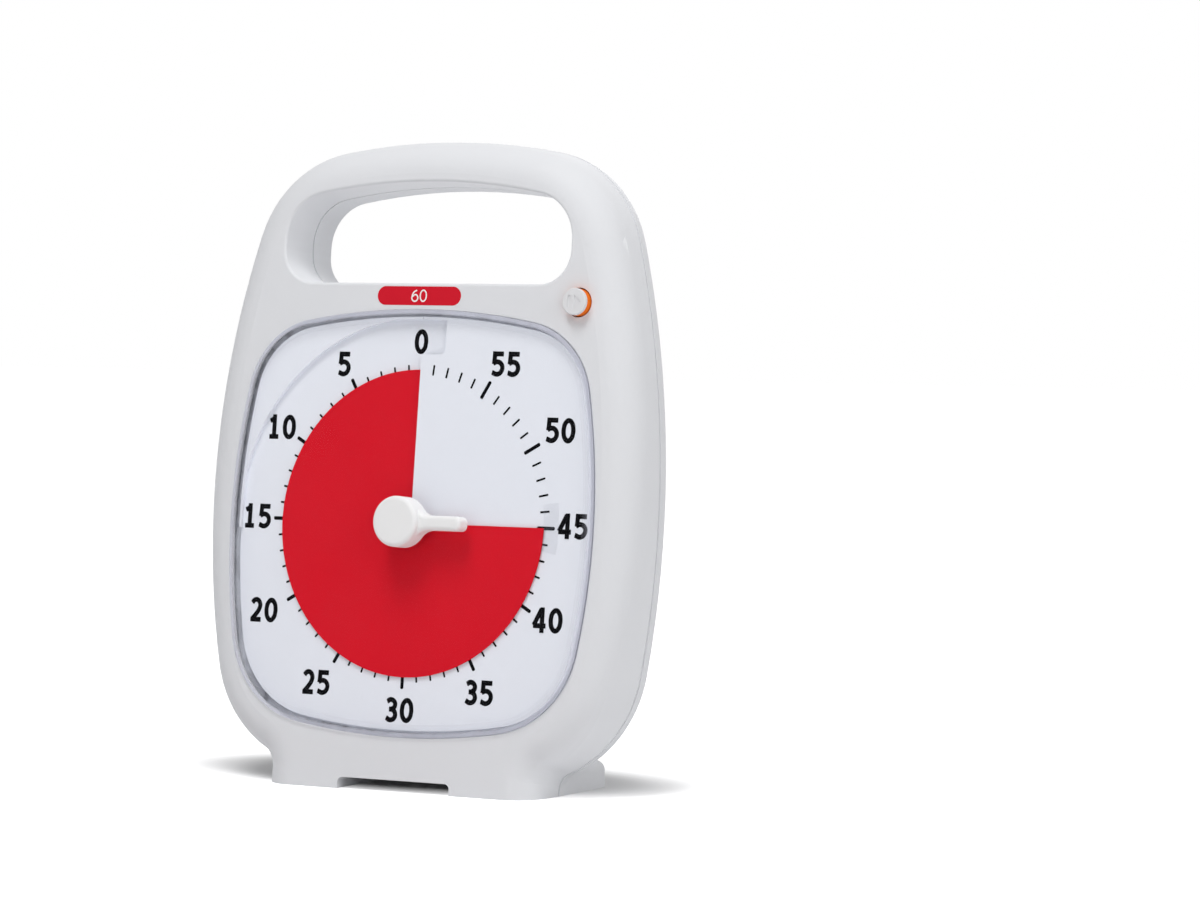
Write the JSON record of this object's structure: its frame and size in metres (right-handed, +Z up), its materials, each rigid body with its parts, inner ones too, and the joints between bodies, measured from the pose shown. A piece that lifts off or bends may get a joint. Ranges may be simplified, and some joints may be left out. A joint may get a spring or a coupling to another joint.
{
  "type": "visual countdown timer",
  "caption": "Free-standing sixty-minute visual timer with a carrying handle; a red disc behind a clear lens shrinks as the time set by the centre knob runs out.",
  "frame": {"origin": "on the table, at the centre of the whole part's footprint box", "axes": "+Z up, the dial faces -Y and leans back by 6.7 degrees, +X to the right as the dial is read"},
  "size_m": [0.141, 0.044, 0.178],
  "materials": {
    "shell_plastic": "satin",
    "lens_plastic": "polished, clear",
    "dial_plastic": "printed, matte",
    "red_sheet": "matte sheet",
    "tab_sheet": "clear sheet",
    "knob_plastic": "satin",
    "button_plastic": "satin",
    "orange_plastic": "smooth",
    "frame_plastic": "moulded",
    "gear_plastic": "smooth, low friction",
    "steel": "turned",
    "can_steel": "drawn",
    "contact_metal": "nickel plated",
    "board_laminate": "solder mask",
    "chip_plastic": "moulded",
    "speaker_plastic": "moulded",
    "cell_wrap": "smooth"
  },
  "bodies": {
    "housing": {"front_shell": "shell_plastic", "rear_shell": "shell_plastic", "window_lens": "lens_plastic", "dial_plate": "dial_plastic", "movement_frame": "frame_plastic", "gear_cover": "frame_plastic", "gear_axle": "steel", "drive_motor": "can_steel", "motor_screws": "steel", "cover_screws": "steel", "frame_screws": "steel", "shell_screws": "steel", "push_switch": "chip_plastic", "circuit_board": "board_laminate", "board_components": "chip_plastic", "board_screws": "steel", "speaker": "speaker_plastic", "volume_pot": "chip_plastic", "battery_cell": "cell_wrap", "contact_plate": "contact_metal", "contact_spring": "contact_metal"},
    "knob": {"setting_knob": "knob_plastic", "knob_shaft": "steel", "output_gear": "gear_plastic", "clutch_washer": "steel"},
    "disc": {"red_disc": "red_sheet", "disc_hub": "gear_plastic", "lead_tab": "tab_sheet"},
    "intermediate": {"intermediate_gear": "gear_plastic"},
    "rotor": {"motor_pinion": "gear_plastic"},
    "button": {"start_button": "button_plastic", "button_stem": "orange_plastic", "switch_plunger": "chip_plastic"},
    "volume": {"volume_dial": "knob_plastic"},
    "door": {"battery_door": "shell_plastic"}
  },
  "joints": [
    {"name": "knob_turn", "type": "hinge", "parent": "housing", "child": "knob", "pos_m": [0, -0.01236, 0.0733], "axis": [0, -0.9932, 0.1167], "range_deg": [-270, 90]},
    {"name": "disc_shift", "type": "slide", "parent": "knob", "child": "disc", "axis": [0, -0.9932, 0.1167], "range_m": [-0.00112, 0.00038]},
    {"name": "intermediate_turn", "type": "hinge", "parent": "housing", "child": "intermediate", "pos_m": [0, -0.01481, 0.05239], "axis": [0, -0.9932, 0.1167], "range_deg": [-360, 1080]},
    {"name": "rotor_turn", "type": "hinge", "parent": "housing", "child": "rotor", "pos_m": [0.01179, -0.01431, 0.05666], "axis": [0, -0.9932, 0.1167], "range_deg": [-4320, 1440]},
    {"name": "button_press", "type": "slide", "parent": "housing", "child": "button", "axis": [0, 0.9932, -0.1167], "range_m": [0, 0.002], "stiffness_N_per_m": 400, "springref_m": -0.0015},
    {"name": "volume_turn", "type": "hinge", "parent": "housing", "child": "volume", "pos_m": [0.0351, -0.00699, 0.11899], "axis": [0, 0.9932, -0.1167], "range_deg": [-135, 135]},
    {"name": "battery_door_swing", "type": "hinge", "parent": "housing", "child": "door", "pos_m": [0, 0.01764, 0.01665], "axis": [-1, 0, 0], "range_deg": [0, 60]}
  ],
  "couplings": [
    {"joint": "disc_shift", "follows": "knob_turn", "m_per_rad": 0.00023873},
    {"joint": "intermediate_turn", "follows": "knob_turn", "ratio": -4},
    {"joint": "rotor_turn", "follows": "knob_turn", "ratio": 16}
  ]
}
